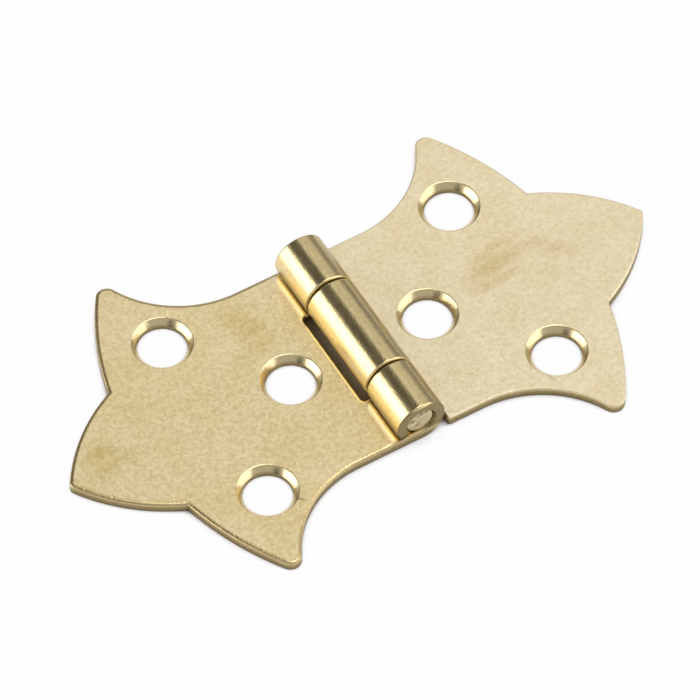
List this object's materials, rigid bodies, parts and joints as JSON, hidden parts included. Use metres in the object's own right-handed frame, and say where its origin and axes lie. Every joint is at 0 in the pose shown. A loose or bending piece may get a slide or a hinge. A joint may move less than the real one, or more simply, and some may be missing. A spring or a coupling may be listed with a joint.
{
  "type": "butterfly hinge",
  "caption": "Surface hinge with winged, pointed leaves that fold about a pin in rolled knuckles and screw down through countersunk holes.",
  "frame": {"origin": "on the back plane of the open leaves, straight below the middle of the pin", "axes": "+X along the open hinge towards the right leaf, +Y along the pin, +Z out of the countersunk front"},
  "size_m": [0.0636, 0.037, 0.0052],
  "materials": {
    "leaf_brass": "satin plate with polished knuckles and countersinks",
    "pin_brass": "peened wire end"
  },
  "bodies": {
    "left_side": {"left_leaf": "leaf_brass", "hinge_pin": "pin_brass"},
    "right_side": {"right_leaf": "leaf_brass"}
  },
  "joints": [
    {"name": "leaf_fold", "type": "hinge", "parent": "left_side", "child": "right_side", "pos_m": [0, 0, 0.0026], "axis": [0, -1, 0], "range_deg": [-90, 180]}
  ]
}
